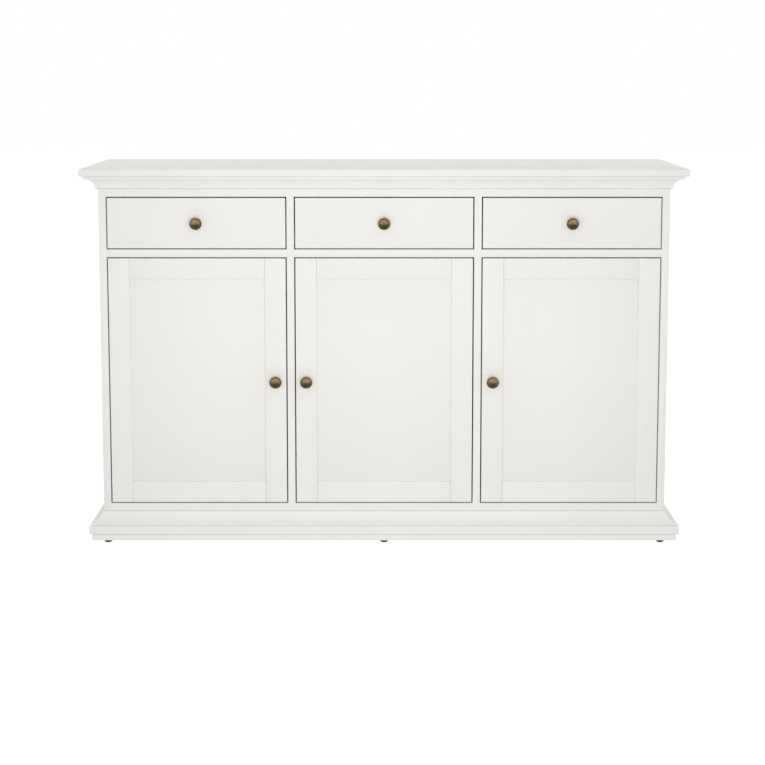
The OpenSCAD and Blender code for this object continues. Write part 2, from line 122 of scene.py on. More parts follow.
def copyNode(name, node):
    # a frame piece's own shape, its triangles joined up and flat areas made whole
    piece = bpy.data.objects.new(name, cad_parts[node].data.copy())
    piece.data.name = name
    bpy.context.scene.collection.objects.link(piece)
    makeActive(piece)
    setMode("EDIT")
    selectAll()
    bpy.ops.mesh.remove_doubles(threshold=0.00001)
    bpy.ops.mesh.dissolve_limited(angle_limit=math.radians(0.5))
    setMode("OBJECT")
    return piece


def pickParts(piece, kind, wanted):
    # leaves the piece in edit mode with the wanted vertices, edges or polygons selected
    makeActive(piece)
    kinds = ("vertices", "edges", "polygons")
    bpy.context.tool_settings.mesh_select_mode = [kind == each for each in kinds]
    setMode("EDIT")
    selectAll("DESELECT")
    setMode("OBJECT")
    for part in getattr(piece.data, kind):
        part.select = wanted(part)
    setMode("EDIT")


def roundEdges(piece, radius, wanted, steps=3):
    # wanted is asked about each edge's middle and direction
    def isWanted(edge):
        a, b = (piece.data.vertices[i].co for i in edge.vertices)
        return bool(wanted((a + b) / 2, (b - a).normalized()))

    pickParts(piece, "edges", isWanted)
    bpy.ops.mesh.bevel(offset=radius, segments=steps, profile=0.5, affect="EDGES", clamp_overlap=True)
    setMode("OBJECT")
    return piece


def along(way, axis, least=straight):
    return abs(way["xyz".index(axis)]) > least


def isAt(value, *places):
    return any(abs(value - place) < near for place in places)


def outerEdges(piece, axes="xyz"):
    # picks the edges of a board that lie on two sides of its own box
    corners = [Vector(corner) for corner in piece.bound_box]
    low = [min(corner[i] for corner in corners) for i in range(3)]
    high = [max(corner[i] for corner in corners) for i in range(3)]

    def wanted(mid, way):
        sides = sum(isAt(mid[i], low[i], high[i]) for i in range(3))
        return sides >= 2 and any(along(way, axis) for axis in axes)
    return wanted


def easeAll(piece, width, steps=2, angle=35):
    # takes the sharpness off every hard edge
    makeActive(piece)
    ease = piece.modifiers.new("ease", "BEVEL")
    ease.width, ease.segments, ease.limit_method = width, steps, "ANGLE"
    ease.angle_limit = math.radians(angle)
    bpy.ops.object.modifier_apply(modifier="ease")
    return piece


def cutAway(piece, cutter):
    makeActive(piece)
    cut = piece.modifiers.new("cut", "BOOLEAN")
    cut.operation, cut.object, cut.solver = "DIFFERENCE", cutter, "EXACT"
    bpy.ops.object.modifier_apply(modifier="cut")
    discard(cutter)


def cutBlock(piece, low, high):
    cutAway(piece, addBlock("cutter", low, high))


def drill(piece, radius, start, end, sides=32):
    cutAway(piece, addRod("cutter", radius, start, end, sides))


def addCopy(piece, move=(0, 0, 0), mirrored=False):
    # its own mesh, moved, or mirrored left to right about the middle of the row
    copy = piece.copy()
    copy.data = piece.data.copy()
    bpy.context.scene.collection.objects.link(copy)
    makeActive(copy)
    if mirrored:
        copy.scale.x = -1
        bpy.ops.object.transform_apply(location=False, rotation=False, scale=True)
        setMode("EDIT")
        faceOutwards()
    copy.location = move
    bpy.ops.object.transform_apply(location=True, rotation=False, scale=False)
    return copy


def joinPieces(name, pieces):
    makeActive(pieces[0])
    for piece in pieces[1:]:
        piece.select_set(True)
    bpy.ops.object.join()
    joined = bpy.context.object
    joined.name = joined.data.name = name
    return joined


def place(piece, body, finish, *nodes, angle=30):
    # its finish, smooth curves, the body it moves with and the frame pieces it stands for
    makeActive(piece)
    bpy.ops.object.shade_smooth_by_angle(angle=math.radians(angle))
    piece.data.materials.clear()
    piece.data.materials.append(finishes[finish])
    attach(piece, body)
    if nodes:
        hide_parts(*nodes)


def placeCopy(source, name, move, body, finish, node, mirrored=False, angle=30):
    copy = addCopy(source, move, mirrored)
    copy.name = copy.data.name = name
    place(copy, body, finish, node, angle=angle)


def turnShape(name, outline, sides=48):
    # a turned shape that stands on the origin: a disc pushed up and scaled from ring to ring
    deselectAll()
    radius, height = outline[0]
    bpy.ops.mesh.primitive_circle_add(
        vertices=sides, radius=radius, fill_type="NGON", location=(0, 0, height))
    setMode("EDIT")
    bpy.context.tool_settings.mesh_select_mode = (False, False, True)
    selectAll()
    for (r0, z0), (r1, z1) in zip(outline, outline[1:]):
        bpy.ops.mesh.extrude_region_move(TRANSFORM_OT_translate={"value": (0, 0, z1 - z0)})
        bpy.ops.transform.resize(value=(r1 / r0, r1 / r0, 1), center_override=(0, 0, z1))
    faceOutwards()
    return nameActive(name)


facings = {"back": (-90, 0, 0), "front": (90, 0, 0), "left": (0, -90, 0), "right": (0, 90, 0),
           "up": (0, 0, 0)}


def standOn(piece, facing, at):
    # turns a standing shape to face another way, and puts its foot at a point
    makeActive(piece)
    piece.rotation_euler = [math.radians(angle) for angle in facings[facing]]
    piece.location = at
    bpy.ops.object.transform_apply(location=True, rotation=True, scale=False)
    return piece


# a low round head with a cross in it, as shares of its radius and its height
screwSettings = {
    "outline": [(0.96, 0), (1, 0.25), (0.94, 0.6), (0.72, 0.9), (0.3, 1)],
    "crossLong": 0.52,
    "crossWide": 0.11,
    "crossFloor": 0.35,
}


def addScrewHead(radius, height):
    s = screwSettings
    head = turnShape("screw", [(radius * r, height * z) for r, z in s["outline"]], sides=24)
    long, wide = radius * s["crossLong"], radius * s["crossWide"]
    for x, y in ((long, wide), (wide, long)):
        cutBlock(head, (-x, -y, height * s["crossFloor"]), (x, y, height * 1.5))
    return head


def arcPoints(mid, rx, ry, start, end, steps):
    angles = [math.radians(start + (end - start) * i / steps) for i in range(steps + 1)]
    return [(mid[0] + rx * math.cos(angle), mid[1] + ry * math.sin(angle)) for angle in angles]


# finishes

# shades are the two colours that clouds mix, gloss moves the roughness between its two values,
# and each bump is (noise, strength, distance); a noise is (scale, detail, roughness, stretch)
finishSettings = {
    # sprayed satin lacquer: a faint mottle, and the fine skin a spray gun leaves
    "white_outside": {
        "shades": ((0.8517, 0.8457, 0.8161), (0.8682, 0.8622, 0.8319)),
        "clouds": (4, 4), "gloss": (35, 5), "roughness": (0.35, 0.46),
        "bumps": [((420, 2), 0.10, 0.0004), ((2200, 2), 0.05, 0.0001)],
    },
    # white melamine: a little greyer than the outside
    "white_inside": {
        "shades": ((0.788, 0.7831, 0.7585), (0.808, 0.803, 0.7777)),
        "clouds": (5, 4), "gloss": (60, 3), "roughness": (0.46, 0.56),
        "bumps": [((2600, 2), 0.06, 0.0001)],
    },
    # bright nickel plate with faint rolling lines and a dulled bloom
    "nickel_steel": {
        "shades": ((0.60, 0.59, 0.57), (0.74, 0.73, 0.70)),
        "clouds": (90, 5), "gloss": (240, 4), "roughness": (0.22, 0.38),
        "bumps": [((700, 2, 0.5, (1, 0.08, 1)), 0.08, 0.0001)],
    },
    # powder coat on pressed steel: soft dimples
    "white_epoxy_steel": {
        "shades": ((0.735, 0.735, 0.715), (0.775, 0.775, 0.755)),
        "clouds": (14, 4), "gloss": (120, 3), "roughness": (0.30, 0.44),
        "bumps": [((650, 3), 0.22, 0.0003)],
    },
    # moulded nylon: a little clouded and waxy
    "white_nylon": {
        "shades": ((0.72, 0.715, 0.68), (0.79, 0.785, 0.76)),
        "clouds": (70, 4), "gloss": (300, 3), "roughness": (0.36, 0.50),
        "bumps": [((800, 2), 0.08, 0.0002)],
    },
    # moulded plastic with a fine grain
    "black_plastic": {
        "shades": ((0.014, 0.014, 0.015), (0.026, 0.026, 0.027)),
        "clouds": (50, 4), "gloss": (200, 3), "roughness": (0.42, 0.58),
        "bumps": [((1400, 2), 0.25, 0.0002)],
    },
}
metals = ("nickel_steel", "antique_bronze")
pearlSettings = {"scale": 700, "strength": 0.18, "distance": 0.0002}
waxSettings = {"weight": 0.05, "depth": 0.002}
bronzeSettings = {
    "shades": ((0.30, 0.204, 0.104), (0.42, 0.301, 0.166)),
    "specks": (0.13, 0.087, 0.040),
    "unrubbed": (0.075, 0.052, 0.028),
    "roughness": (0.40, 0.58),
}
beechSettings = {
    "shades": ((0.56, 0.37, 0.20), (0.70, 0.50, 0.31)),
    "flecks": (0.36, 0.21, 0.11),
    "roughness": (0.55, 0.7),
}


def addNode(source, kind, socket):
    # a node in the source's own tree, fed by the source
    tree = source.id_data
    node = tree.nodes.new(kind)
    tree.links.new(source, node.inputs[socket])
    return node


def feed(source, node, socket):
    source.id_data.links.new(source, node.inputs[socket])


def addNoise(here, scale, detail=3, roughness=0.5, stretch=None):
    if stretch:
        mapping = addNode(here, "ShaderNodeMapping", "Vector")
        mapping.inputs["Scale"].default_value = stretch
        here = mapping.outputs["Vector"]
    noise = addNode(here, "ShaderNodeTexNoise", "Vector")
    for socket, value in (("Scale", scale), ("Detail", detail), ("Roughness", roughness)):
        noise.inputs[socket].default_value = value
    return noise.outputs["Fac"]


def addRange(source, low, high, start=0.3, stop=0.7):
    spread = addNode(source, "ShaderNodeMapRange", "Value")
    ends = (("From Min", start), ("From Max", stop), ("To Min", low), ("To Max", high))
    for socket, value in ends:
        spread.inputs[socket].default_value = value
    return spread.outputs["Result"]


def addMix(factor, first, second):
    mix = addNode(factor, "ShaderNodeMix", 0)
    mix.data_type = "RGBA"
    for socket, value in ((6, first), (7, second)):  # the two colours of this node
        if isinstance(value, tuple):
            mix.inputs[socket].default_value = (*value, 1)
        else:
            feed(value, mix, socket)
    return mix.outputs[2]


def addBump(shader, *layers):
    # each layer is (height, strength, distance), the coarsest first
    normal = None
    for height, strength, distance in layers:
        bump = addNode(height, "ShaderNodeBump", "Height")
        bump.inputs["Strength"].default_value = strength
        bump.inputs["Distance"].default_value = distance
        if normal:
            feed(normal, bump, "Normal")
        normal = bump.outputs["Normal"]
    feed(normal, shader, "Normal")


def startFinish(name):
    material = bpy.data.materials.new(name)
    material.use_nodes = True
    nodes = material.node_tree.nodes
    shader = nodes["Principled BSDF"]
    shader.inputs["Metallic"].default_value = float(name in metals)
    finishes[name] = material
    return shader, nodes.new("ShaderNodeTexCoord").outputs["Object"]


def makePlainFinish(name):
    # two close shades in soft clouds, gloss that varies a little, and a fine surface
    s = finishSettings[name]
    shader, here = startFinish(name)
    clouds = addRange(addNoise(here, *s["clouds"]), 0, 1)
    feed(addMix(clouds, *s["shades"]), shader, "Base Color")
    feed(addRange(addNoise(here, *s["gloss"]), *s["roughness"]), shader, "Roughness")
    layers = [(addNoise(here, *noise), strength, distance) for noise, strength, distance in s["bumps"]]
    if name == "white_inside":  # the pressed pearl texture of melamine
        pearl = addNode(here, "ShaderNodeTexVoronoi", "Vector")
        pearl.inputs["Scale"].default_value = pearlSettings["scale"]
        layers.insert(0, (pearl.outputs["Distance"], pearlSettings["strength"], pearlSettings["distance"]))
    if name == "white_nylon":
        shader.inputs["Subsurface Weight"].default_value = waxSettings["weight"]
        shader.inputs["Subsurface Scale"].default_value = waxSettings["depth"]
    addBump(shader, *layers)


def makeBronze():
    # antique bronze: browned metal, rubbed lighter in patches, with fine turning marks
    s = bronzeSettings
    shader, here = startFinish("antique_bronze")
    bright = addMix(addRange(addNoise(here, 140, 6, 0.6), 0, 1, 0.35, 0.68), *s["shades"])
    worn = addMix(addRange(addNoise(here, 900, 3), 0, 0.7, 0.56, 0.72), bright, s["specks"])
    rubbed = here.id_data.nodes.new("ShaderNodeAttribute")
    rubbed.attribute_name = "rubbed"
    feed(addMix(rubbed.outputs["Fac"], s["unrubbed"], worn), shader, "Base Color")
    feed(addRange(addNoise(here, 260, 5), *s["roughness"]), shader, "Roughness")
    turning = addNoise(here, 900, 2, stretch=(0.25, 3.5, 0.25))
    addBump(shader, (addNoise(here, 320, 4), 0.12, 0.0003), (turning, 0.08, 0.0001))


def makeBeech():
    # turned beech: pale, with short darker flecks along the grain
    s = beechSettings
    shader, here = startFinish("beech")
    grain = addRange(addNoise(here, 90, 5, stretch=(0.2, 2, 2)), 0, 1)
    fleck = addRange(addNoise(here, 600, 3, stretch=(0.15, 1, 1)), 0, 1, 0.58, 0.7)
    feed(addMix(fleck, addMix(grain, *s["shades"]), s["flecks"]), shader, "Base Color")
    feed(addRange(grain, *s["roughness"], 0, 1), shader, "Roughness")
    addBump(shader, (grain, 0.2, 0.0003))


for finishName in finishSettings:
    makePlainFinish(finishName)
makeBronze()
makeBeech()
print("finishes made:", len(finishes))


# top board

topSettings = {
    "roundFront": 0.002,  # front and end edges
    "roundBack": 0.0005,
}


def buildTop():
    s = topSettings
    low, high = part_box("top_panel")
    top = addBlock("topBoard", low, high)
    roundEdges(top, s["roundFront"], lambda mid, way: not isAt(mid.y, high.y), steps=5)
    roundEdges(top, s["roundBack"], lambda mid, way: along(way, "x") and isAt(mid.y, high.y), steps=2)
    place(top, "case", "white_outside", "top_panel")


buildTop()


# mouldings

corniceSettings = {
    "inset": 0.018,  # how far it reaches in over the side panels
    "foot": 0.0065,
    "footEase": 0.0005,
    "lipOut": 0.030,
    "lipHigh": 0.007,
    "lipStep": 0.002,
    "quirk": 0.0008,  # the fine shadow lines at the foot and under the top
    "quirkDeep": 0.003,
    "quirkUp": 0.0009,
    "topGap": 0.0010,
    "coveSteps": 20,
    "ease": 0.0005,
}
plinthSettings = {
    "inset": 0.022,
    "skirt": 0.0068,  # back of the lower board
    "skirtHigh": 0.036,
    "band": 0.0268,
    "bandHigh": 0.016,
    "noseOut": 0.0325,
    "noseHigh": 0.037,
    "noseRound": 0.0012,
    "noseEase": 0.001,  # the small slope under the nose
    "quirk": 0.0007,  # the fine shadow lines above the nose and under the case
    "quirkDeep": 0.002,
    "bandLine": 0.0004,  # a third line, in the band just below the nose
    "bandLineDown": 0.0017,
    "fillet": 0.0055,
    "coveFoot": 0.003,
    "coveDown": 0.002,
    "coveRadius": 0.0375,
    "coveSteps": 20,
    "ease": 0.0006,
}


def cornicePoints():
    # an outline's points are (out from the case, up from the moulding's foot)
    s = corniceSettings
    low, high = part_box("cornice_front")
    height = high.z - low.z
    foot, lip, deep = s["foot"], s["lipOut"], s["quirkDeep"]
    coveTop, lipTop = height - s["lipHigh"], height - s["topGap"]
    mid = (lip - s["lipStep"], s["quirkUp"] + s["quirk"])
    footLine = [(foot, s["quirkUp"]), (foot - deep, s["quirkUp"]), (foot - deep, mid[1])]
    cove = arcPoints(mid, mid[0] - foot, coveTop - mid[1], 180, 90, s["coveSteps"])
    topLine = [(lip, coveTop), (lip, lipTop), (lip - deep, lipTop), (lip - deep, height)]
    start = [(-s["inset"], 0), (foot - s["footEase"], 0)]
    return start + footLine + cove + topLine + [(-s["inset"], height)]


def plinthPoints():
    s = plinthSettings
    low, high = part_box("plinth_front")
    height = high.z - low.z
    band, nose, rounding = s["band"], s["noseOut"], s["noseRound"]
    bandHigh, noseHigh, deep = s["bandHigh"], s["noseHigh"], s["quirkDeep"]
    lineTop = bandHigh - s["bandLineDown"]
    lineFoot = lineTop - s["bandLine"]
    bandEdge = [(band, 0), (band, lineFoot), (band - deep, lineFoot), (band - deep, lineTop),
                (band, lineTop), (band, bandHigh)]
    noseFoot = [(nose - s["noseEase"], bandHigh), (nose, bandHigh + s["noseEase"])]
    noseTop = arcPoints((nose - rounding, noseHigh - rounding), rounding, rounding, 0, 90, 5)
    noseLine = [(band - deep, noseHigh), (band - deep, noseHigh + s["quirk"]), (band, noseHigh + s["quirk"])]

    # the hollow is an arc of a given radius between two points
    top = Vector((s["coveFoot"], height - s["coveDown"]))
    foot = Vector((band, noseHigh + s["fillet"]))
    chord, radius = foot - top, s["coveRadius"]
    half = chord.length / 2
    out = Vector((-chord.y, chord.x)).normalized()
    mid = (top + foot) / 2 + out * math.sqrt(radius ** 2 - half ** 2)
    start = math.degrees(math.atan2(top.y - mid.y, top.x - mid.x))
    turn = math.degrees(2 * math.asin(half / radius))
    cove = arcPoints(mid, radius, radius, start, start + turn, s["coveSteps"])

    caseLine = height - s["quirk"]
    behind = [(s["coveFoot"], caseLine), (-deep, caseLine), (-deep, height), (-s["inset"], height),
              (-s["inset"], s["skirtHigh"]), (s["skirt"], s["skirtHigh"])]
    return [(s["skirt"], 0)] + bandEdge + noseFoot + noseTop + noseLine + cove[::-1] + behind


def sharpLong(piece, way):
    # picks the long edges where two faces of the outline meet at a hard corner
    way = way.normalized()
    facesOf = {}
    for face in piece.data.polygons:
        for key in face.edge_keys:
            facesOf.setdefault(key, []).append(face.normal)
    hard = set()
    for (i, j), normals in facesOf.items():
        a, b = piece.data.vertices[i].co, piece.data.vertices[j].co
        isLong = abs((b - a).normalized().dot(way)) > 0.999 and len(normals) == 2
        if isLong and normals[0].angle(normals[1]) > math.radians(35):
            hard.add(tuple(round(c, 6) for c in (a + b) / 2))
    return lambda mid, direction: tuple(round(c, 6) for c in mid) in hard


def drawOut(name, points, ends, ease):
    # one long edge is extruded from point to point, and stretched so that its ends are mitred
    a, b = ends(points[0])
    deselectAll()
    bpy.ops.mesh.primitive_plane_add(size=1, location=(a + b) / 2)
    strip = bpy.context.object
    strip.name = strip.data.name = name
    bpy.ops.object.transform_apply(location=True, rotation=False, scale=False)
    pickParts(strip, "vertices", lambda vertex: vertex.index > 1)
    bpy.ops.mesh.delete(type="VERT")
    setMode("OBJECT")
    strip.data.vertices[0].co, strip.data.vertices[1].co = a, b
    setMode("EDIT")
    selectAll()
    for point in points[1:] + points[:1]:
        c, d = ends(point)
        bpy.ops.mesh.extrude_region_move(TRANSFORM_OT_translate={"value": (c + d - a - b) / 2})
        stretch = [1 if abs(was) < 1e-6 else now / was for was, now in zip(b - a, d - c)]
        bpy.ops.transform.resize(value=stretch, center_override=(c + d) / 2)
        a, b = c, d
    selectAll()
    bpy.ops.mesh.remove_doubles(threshold=0.00001)
    bpy.ops.mesh.fill_holes(sides=0)
    faceOutwards()
    return roundEdges(strip, ease, sharpLong(strip, b - a), steps=2)


def addMoulding(name, points, floor, ease, side=0):
    # the front one runs from mitre to mitre, and a side one from its mitre to the back
    panelLow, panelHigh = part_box("side_panel_left")

    def ends(point):
        out, up = point
        x, y, z = out - panelLow.x, frontY - out, floor + up
        if side:
            return Vector((side * x, y, z)), Vector((side * x, panelHigh.y, z))
        return Vector((-x, y, z)), Vector((x, y, z))
    return drawOut(name, points, ends, ease)


def buildMouldings():
    for kind, points, s in (("cornice", cornicePoints(), corniceSettings),
                            ("plinth", plinthPoints(), plinthSettings)):
        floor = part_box(kind + "_front")[0].z
        front = addMoulding(kind + "Front", points, floor, s["ease"])
        place(front, "case", "white_outside", kind + "_front")
        sides = [addMoulding(kind + "Side", points, floor, s["ease"], side) for side in (-1, 1)]
        place(joinPieces(kind + "Sides", sides), "case", "white_outside", kind + "_sides")


buildMouldings()
print("top and mouldings made")


# drawer fronts and doors

frontSettings = {
    "drawerEdge": 0.0012,  # rounding of the drawer fronts
    "doorEdge": 0.0010,
    "jointEdge": 0.0006,  # where a rail meets a stile
    "jointGap": 0.0003,
    "stile": 0.052,
    "groove": 0.009,
    "grooveWide": 0.0062,
    "panelSink": 0.0059,
    "panelEase": 0.0005,
    "tongue": 0.0085,
    "tongueSlack": 0.0001,
    "tongueShort": 0.001,  # how far its ends stay inside the rail's
    "cupInset": 0.0225,
    "cupRadius": 0.01755,
    "cupDeep": 0.0117,
    "plateHalf": 0.029,  # half the height of a hinge's plate
    "knobBore": 0.0021,
}


def buildDrawerFronts():
    s = frontSettings
    low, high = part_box("drawer_front_left")
    front = addBlock("drawerFront", low, high)
    roundEdges(front, s["drawerEdge"], outerEdges(front), steps=4)
    mid = (low + high) / 2
    drill(front, s["knobBore"], (mid.x, low.y - past, mid.z), (mid.x, high.y + past, mid.z))
    for bay in bayNames:
        move = (bayMid[bay] - bayMid["left"], 0, 0)
        placeCopy(front, "drawerFront" + bay.capitalize(), move,
                  "drawer_" + bay, "white_outside", "drawer_front_" + bay)
    discard(front)


def addStiles(low, high, grooveLow, grooveHigh):
    # the hanging stile with its two hinge cups, and the closing stile with its knob's hole
    s = frontSettings
    cupLow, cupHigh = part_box("hinge_cups_left")
    hangEdge, closeEdge = low.x + s["stile"], high.x - s["stile"]
    hang = addBlock("hangStile", low, (hangEdge, high.y, high.z))
    close = addBlock("closeStile", (closeEdge, low.y, low.z), high)
    for stile, x0, x1 in ((hang, hangEdge - s["groove"], hangEdge + past),
                          (close, closeEdge - past, closeEdge + s["groove"])):
        roundEdges(stile, s["doorEdge"], outerEdges(stile), steps=4)
        cutBlock(stile, (x0, grooveLow, low.z - past), (x1, grooveHigh, high.z + past))
    x = low.x + s["cupInset"]
    for z in (cupLow.z + s["plateHalf"], cupHigh.z - s["plateHalf"]):
        drill(hang, s["cupRadius"], (x, high.y - s["cupDeep"], z), (x, high.y + past, z), sides=48)
    x, z = high.x - s["stile"] / 2, (low.z + high.z) / 2
    drill(close, s["knobBore"], (x, low.y - past, z), (x, high.y + past, z))
    return joinPieces("doorStiles", [hang, close])


def addRail(low, high, grooveLow, grooveHigh):
    # a rail between two corners, with a tongue at each end; the groove's corners cut through both
    s = frontSettings
    gap, slack, short = s["jointGap"], s["tongueSlack"], s["tongueShort"]
    rail = addBlock("rail", (low[0] + gap, low[1], low[2]), (high[0] - gap, high[1], high[2]))
    front, back = low[1], high[1]
    roundEdges(rail, s["doorEdge"], lambda mid, way: along(way, "x") and isAt(mid.y, front, back), steps=4)
    roundEdges(rail, s["jointEdge"], lambda mid, way: along(way, "z") and isAt(mid.y, front), steps=2)
    cutBlock(rail, grooveLow, grooveHigh)
    parts = [rail]
    for x0, x1 in ((low[0] - s["tongue"], low[0] + gap), (high[0] - gap, high[0] + s["tongue"])):
        tongue = addBlock("tongue", (x0, grooveLow[1] + slack, low[2] + short),
                          (x1, grooveHigh[1] - slack, high[2] - short))
        cutBlock(tongue, (grooveLow[0], grooveLow[1] - past, grooveLow[2]),
                 (grooveHigh[0], grooveHigh[1] + past, grooveHigh[2]))
        parts.append(tongue)
    return joinPieces("rail", parts)


def buildDoors():
    s = frontSettings
    low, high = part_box("door_stiles_left")
    stile, groove = s["stile"], s["groove"]
    grooveLow = frontY + s["panelSink"]
    grooveHigh = grooveLow + s["grooveWide"]
    stiles = addStiles(low, high, grooveLow, grooveHigh)

    railLow, railHigh = low.x + stile, high.x - stile
    rails = []
    for z0, z1, cut0, cut1 in ((low.z, low.z + stile, low.z + stile - groove, low.z + stile + past),
                               (high.z - stile, high.z, high.z - stile - past, high.z - stile + groove)):
        rails.append(addRail((railLow, low.y, z0), (railHigh, high.y, z1),
                             (railLow - 2 * past, grooveLow, cut0), (railHigh + 2 * past, grooveHigh, cut1)))
    rails = joinPieces("doorRails", rails)
    panel = easeAll(addBlock("doorPanel", *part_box("door_panel_left")), s["panelEase"])
    for bay in bayNames:
        mirrored = hangSide[bay] > 0
        start = -bayMid["left"] if mirrored else bayMid["left"]
        for source, part in ((stiles, "stiles"), (rails, "rails"), (panel, "panel")):
            placeCopy(source, f"door{part.capitalize()}{bay.capitalize()}", (bayMid[bay] - start, 0, 0),
                      "door_" + bay, "white_outside", f"door_{part}_{bay}", mirrored)
    discard(stiles, rails, panel)


buildDrawerFronts()
buildDoors()
print("fronts made")


# knobs

# outlines are (radius, height), and the rim's, (in from the rim, down from the dome's foot)
knobSettings = {
    "radius": 0.015,
    "out": 0.027,
    "sides": 64,
    "foot": [(0.0078, 0), (0.0080, 0.0003), (0.0080, 0.0012), (0.0077, 0.0016), (0.0068, 0.0026)],
    "neckMid": (0.0125, 0.009),
    "neckSize": (0.0068, 0.0064),
    "underRim": [(0.0030, 0.0040), (0.0014, 0.0036)],
    "rimRound": 0.0012,
    "rimMid": 0.0023,
    "rimStep": [(0.0019, 0.00105), (0.0022, 0.0008), (0.0024, 0.0002)],
    "domeHigh": 0.0075,
    "domeIn": 0.0024,
    "domeDown": 0.0002,
    "tip": 0.0001,
    # the dome is rubbed bright by hands, and the groove round it stays darker
    "rubbedIn": 0.0026,
    "rubbedBlend": 0.0012,
    "rimRubbed": 0.85,
    "washer": [(0.0052, 0), (0.0055, 0.0002), (0.0055, 0.0006), (0.0051, 0.0008)],
    "screwRadius": 0.0040,
    "screwHigh": 0.0017,
}


def knobOutline():
    s = knobSettings
    r, rim = s["radius"], s["out"] - s["domeHigh"]
    neck = arcPoints(s["neckMid"], *s["neckSize"], 180, 130, 8)
    under = [(r - inward, rim - down) for inward, down in s["underRim"]]
    edge = arcPoints((r - s["rimRound"], rim - s["rimMid"]), s["rimRound"], s["rimRound"], -80, 85, 10)
    step = [(r - inward, rim - down) for inward, down in s["rimStep"]]
    dome = arcPoints((0, rim - s["domeDown"]), r - s["domeIn"], s["domeHigh"] + s["domeDown"], 6, 86, 14)
    return s["foot"] + neck + under + edge + step + dome + [(s["tip"], s["out"])]


def addPatina(knob):
    s = knobSettings
    rubbed = knob.data.attributes.new("rubbed", "FLOAT", "POINT")
    domeFoot = s["out"] - s["domeHigh"] - s["domeDown"]
    for i, vertex in enumerate(knob.data.vertices):
        inward = s["radius"] - s["rubbedIn"] - math.hypot(vertex.co.x, vertex.co.y)
        onDome = min(max(inward / s["rubbedBlend"], 0), 1)
        rubbed.data[i].value = onDome if vertex.co.z > domeFoot else s["rimRubbed"]


def addKnobScrew(name, at):
    # the washer and screw that hold the knob, seen from inside
    s = knobSettings
    washer = turnShape("washer", s["washer"], sides=32)
    head = standOn(addScrewHead(s["screwRadius"], s["screwHigh"]), "up", (0, 0, s["washer"][-1][1]))
    return standOn(joinPieces(name, [washer, head]), "back", at)


def buildKnobs():
    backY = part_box("drawer_front_left")[1].y
    for bay in bayNames:
        for kind in ("drawer", "door"):
            node = f"{kind}_knob_{bay}"
            mid = boxMid(node)
            knob = turnShape(f"{kind}Knob{bay.capitalize()}", knobOutline(), knobSettings["sides"])
            addPatina(knob)
            standOn(knob, "front", (mid.x, frontY, mid.z))
            place(knob, f"{kind}_{bay}", "antique_bronze", node, angle=40)
            screw = addKnobScrew(f"{kind}KnobScrew{bay.capitalize()}", (mid.x, backY, mid.z))
            place(screw, f"{kind}_{bay}", "nickel_steel", angle=40)


buildKnobs()
print("knobs made")


# case boards

boardSettings = {
    "edge": 0.0004,  # banded edges
    "meetEdge": 0.0007,  # where the case meets the mouldings
    "outerEdge": 0.0008,  # the corners people touch
    "frontReach": 0.001,  # how far back an end edge of the front face may lie
}
boardFinishes = {
    "lid_board": "white_outside",
    "floor_board": "white_outside",
    "drawer_boards": "white_outside",
    "plinth_back": "white_outside",
    "top_batten": "white_inside",
    "back_panel": "white_inside",
}


def buildCase():
    s = boardSettings
    low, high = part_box("side_panel_left")
    outer, inner = -low.x, -high.x

    def frontEdgeAt(x):
        return lambda mid, way: along(way, "z") and isAt(mid.y, frontY) and isAt(abs(mid.x), x)

    def meetsMoulding(mid, way):
        isEnd = along(way, "x", leaning) and isAt(mid.z, low.z, high.z)
        return isEnd and mid.y < frontY + s["frontReach"]

    for side in ("left", "right"):
        panel = copyNode("sidePanel" + side.capitalize(), "side_panel_" + side)
        roundEdges(panel, s["outerEdge"], frontEdgeAt(outer), steps=3)
        roundEdges(panel, s["edge"], frontEdgeAt(inner), steps=2)
        roundEdges(panel, s["meetEdge"], meetsMoulding, steps=2)
        place(panel, "case", "white_outside", "side_panel_" + side)
        upright = copyNode("partition" + side.capitalize(), "partition_" + side)
        roundEdges(upright, s["edge"], outerEdges(upright, "z"), steps=2)
        place(upright, "case", "white_outside", "partition_" + side)
    for node, finish in boardFinishes.items():
        first, second = node.split("_")
        board = copyNode(first + second.capitalize(), node)
        if node in ("lid_board", "floor_board"):
            roundEdges(board, s["meetEdge"], meetsMoulding, steps=2)
        roundEdges(board, s["edge"], outerEdges(board, "x"), steps=2)
        place(board, "case", finish, node)


buildCase()
print("case made")


# drawer boxes

drawerSettings = {
    "sideThick": 0.012,
    "topEdge": 0.0018,  # the sides' and back's top edges, rounded for the hand
    "edge": 0.0004,
    "bottomEase": 0.0003,
    "grooveUp": 0.008,
    "grooveWide": 0.0034,
    "grooveIn": 0.006,
}


